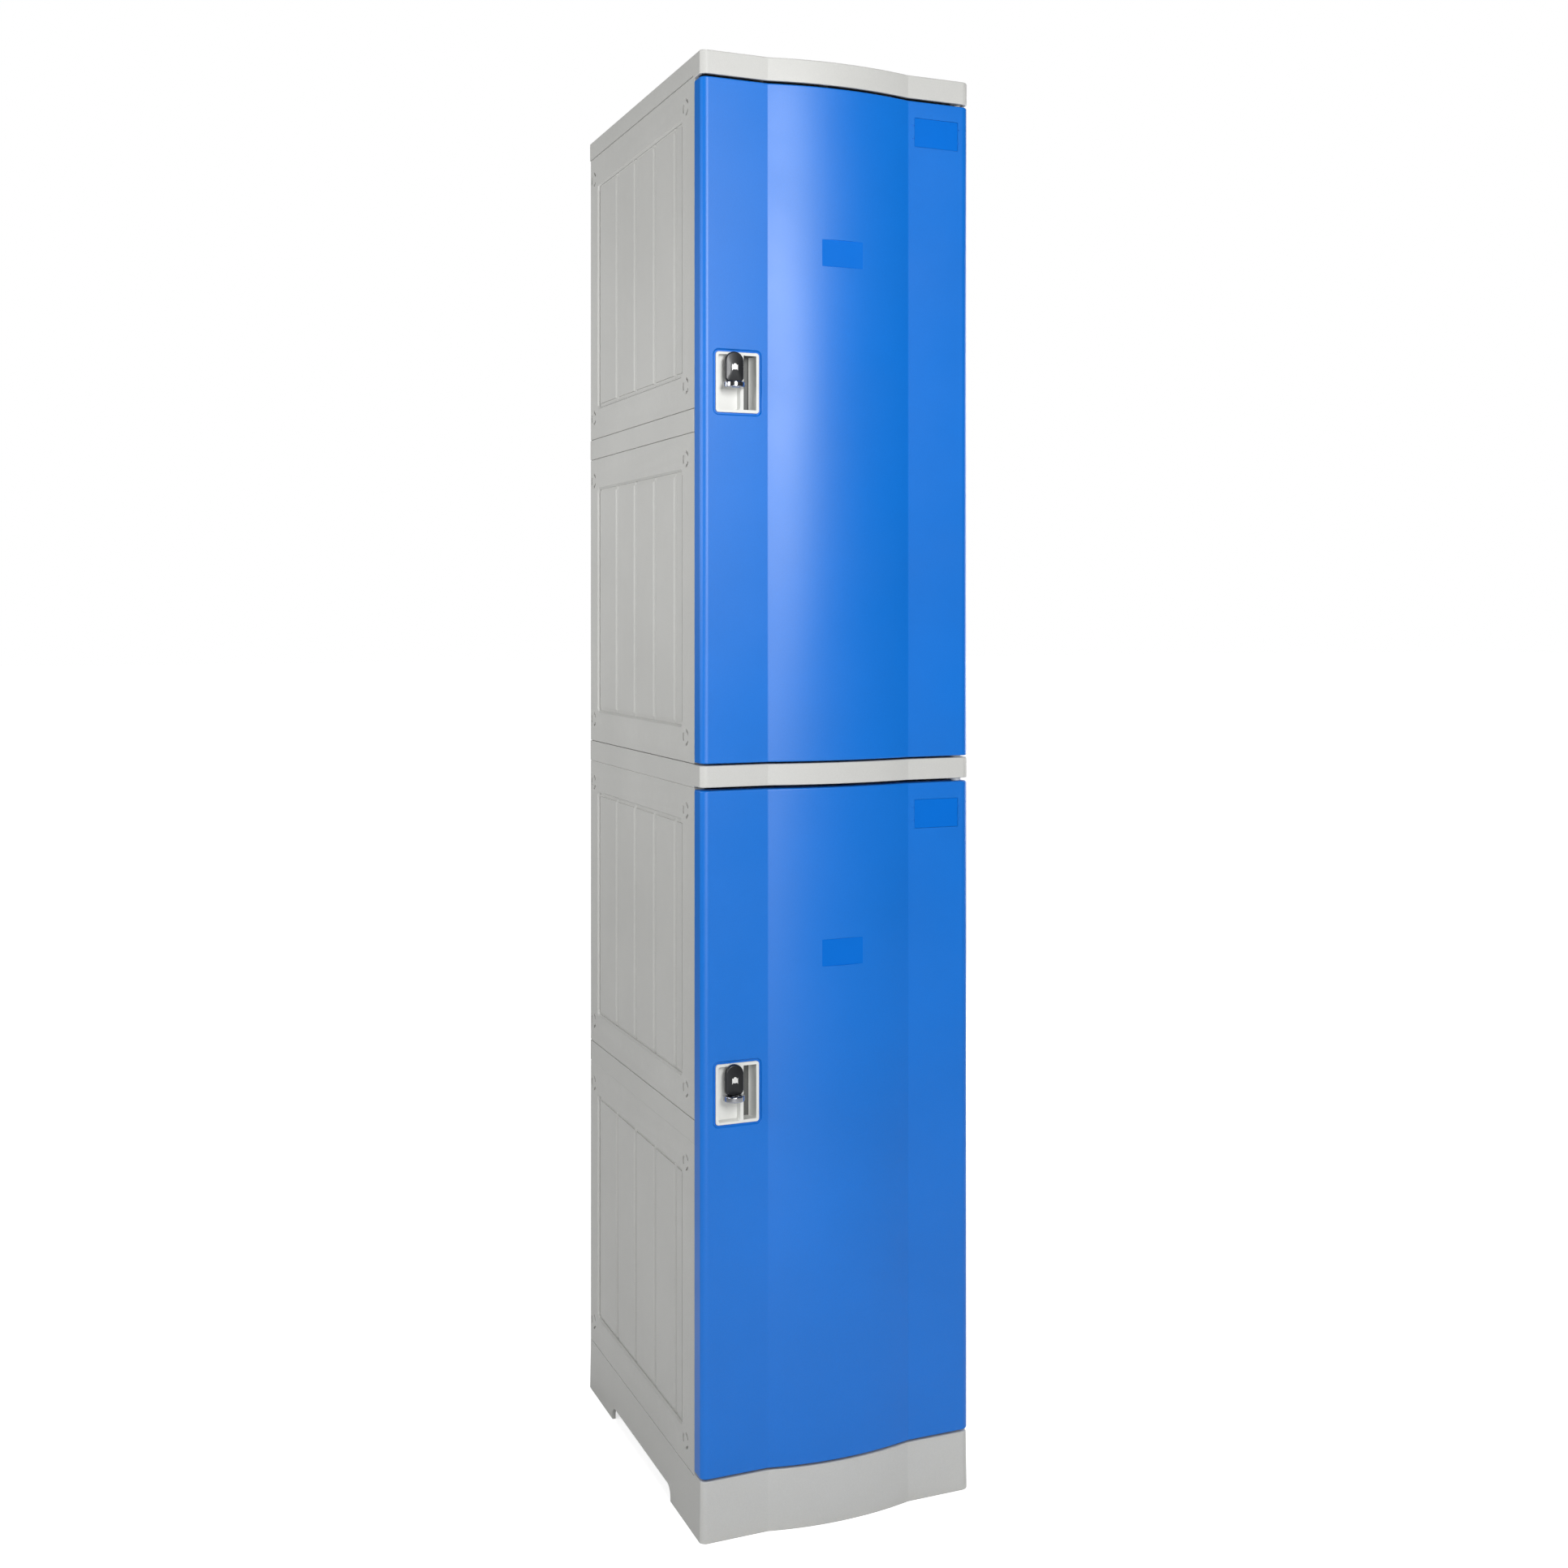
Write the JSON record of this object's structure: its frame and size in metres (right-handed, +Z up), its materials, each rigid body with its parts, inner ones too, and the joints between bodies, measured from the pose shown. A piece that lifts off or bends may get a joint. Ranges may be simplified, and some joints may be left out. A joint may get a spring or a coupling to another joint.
{
  "type": "school locker",
  "caption": "Tall narrow moulded-plastic school locker with stacked doors on one hinge line, curved fronts, recessed lock cups and a notched plinth.",
  "frame": {"origin": "middle of the locker's underside, on the floor", "axes": "+Z up, the front and its doors face -Y, and +X is the hinge side, on the right as seen from the front"},
  "size_m": [0.382, 0.518, 1.89],
  "materials": {
    "body_grey_abs": "fine-grained satin moulded plastic",
    "door_blue_abs": "fine-grained semi-gloss moulded plastic",
    "card_blue": "smooth satin film",
    "cup_grey": "smooth satin moulded plastic",
    "lock_black": "polished black",
    "lock_chrome": "polished",
    "nylon": "plain moulded",
    "steel": "zinc plated"
  },
  "bodies": {
    "cabinet": {"base_plinth": "body_grey_abs", "lower_shelf": "body_grey_abs", "compartment_divider": "body_grey_abs", "upper_shelf": "body_grey_abs", "top_cover": "body_grey_abs", "left_side_panel_1": "body_grey_abs", "left_side_panel_2": "body_grey_abs", "left_side_panel_3": "body_grey_abs", "left_side_panel_4": "body_grey_abs", "right_side_panel_1": "body_grey_abs", "right_side_panel_2": "body_grey_abs", "right_side_panel_3": "body_grey_abs", "right_side_panel_4": "body_grey_abs", "back_panel_1": "body_grey_abs", "back_panel_2": "body_grey_abs", "back_panel_3": "body_grey_abs", "back_panel_4": "body_grey_abs", "hinge_pin_bottom": "steel", "hinge_pin_middle": "steel", "hinge_pin_top": "steel", "lower_latch_strike": "steel", "upper_latch_strike": "steel", "lower_coat_hook": "steel", "upper_coat_hook": "steel"},
    "lower_door": {"lower_door_shell": "door_blue_abs", "lower_door_liner": "body_grey_abs", "lower_lock_cup": "cup_grey", "lower_name_card_insert": "card_blue", "lower_hinge_bush_bottom": "nylon", "lower_hinge_bush_top": "nylon", "lower_lock_barrel": "lock_chrome", "lower_lock_nut": "steel"},
    "lower_lock_turn": {"lower_lock_knob": "lock_black", "lower_padlock_hasp": "lock_chrome", "lower_latch_cam": "steel", "lower_cam_screw": "steel"},
    "upper_door": {"upper_door_shell": "door_blue_abs", "upper_door_liner": "body_grey_abs", "upper_lock_cup": "cup_grey", "upper_name_card_insert": "card_blue", "upper_hinge_bush_bottom": "nylon", "upper_hinge_bush_top": "nylon", "upper_lock_barrel": "lock_chrome", "upper_lock_nut": "steel"},
    "upper_lock_turn": {"upper_lock_knob": "lock_black", "upper_padlock_hasp": "lock_chrome", "upper_latch_cam": "steel", "upper_cam_screw": "steel"}
  },
  "joints": [
    {"name": "lower_door_hinge", "type": "hinge", "parent": "cabinet", "child": "lower_door", "pos_m": [0.178, -0.227, 0.081], "axis": [0, 0, 1], "range_deg": [0, 115]},
    {"name": "lower_lock", "type": "hinge", "parent": "lower_door", "child": "lower_lock_turn", "pos_m": [-0.148, -0.241, 0.5835], "axis": [0, 1, 0], "range_deg": [0, 90]},
    {"name": "upper_door_hinge", "type": "hinge", "parent": "cabinet", "child": "upper_door", "pos_m": [0.178, -0.227, 0.986], "axis": [0, 0, 1], "range_deg": [0, 115]},
    {"name": "upper_lock", "type": "hinge", "parent": "upper_door", "child": "upper_lock_turn", "pos_m": [-0.148, -0.241, 1.488], "axis": [0, 1, 0], "range_deg": [0, 90]}
  ]
}
